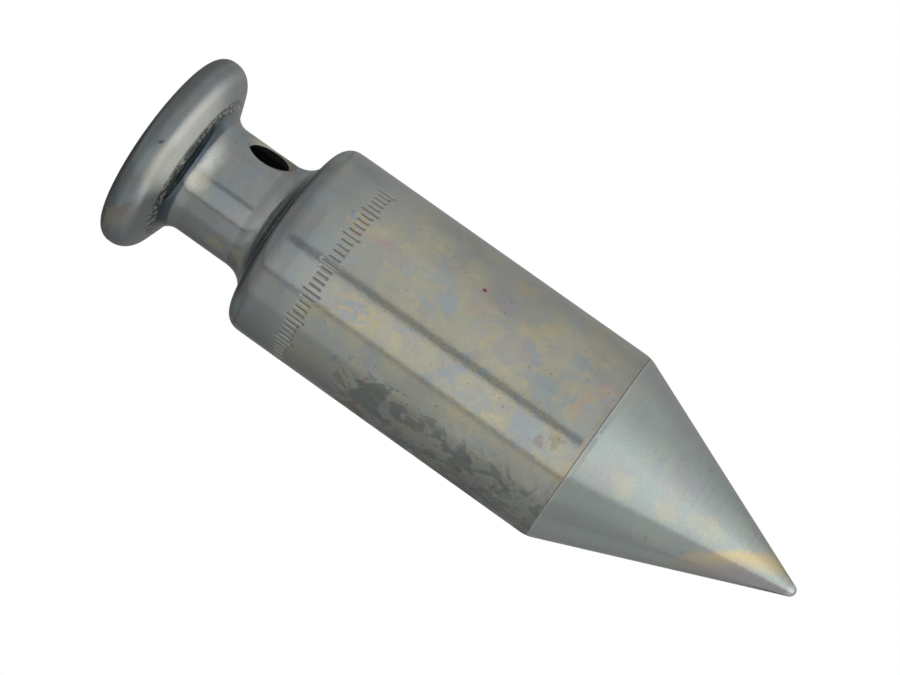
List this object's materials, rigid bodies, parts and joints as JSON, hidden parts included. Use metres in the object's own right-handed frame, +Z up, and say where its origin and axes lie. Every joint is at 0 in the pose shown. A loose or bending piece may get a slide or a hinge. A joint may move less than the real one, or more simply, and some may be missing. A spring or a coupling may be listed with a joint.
{
  "type": "plumb bob",
  "caption": "Turned steel plumb bob: a round head and neck for the line, a straight barrel, and a conical point that screws into the barrel's end.",
  "frame": {"origin": "centre of the line hole's mouth, in the head's flat top", "axes": "+Z up along the bob's axis, as it hangs with its point down; +X along the cross hole through the neck"},
  "size_m": [0.0326, 0.0326, 0.1151],
  "materials": {
    "plated_steel_body": "thin mottled plating over drawn and turned steel, semi-gloss",
    "plated_steel_point": "fine turned, thin plating, satin to semi-gloss"
  },
  "bodies": {
    "bob": {"bob_body": "plated_steel_body"},
    "point": {"screw_in_point": "plated_steel_point"}
  },
  "joints": [
    {"name": "point_unscrew", "type": "slide", "parent": "bob", "child": "point", "axis": [0, 0, -1], "range_m": [0, 0.014]}
  ]
}
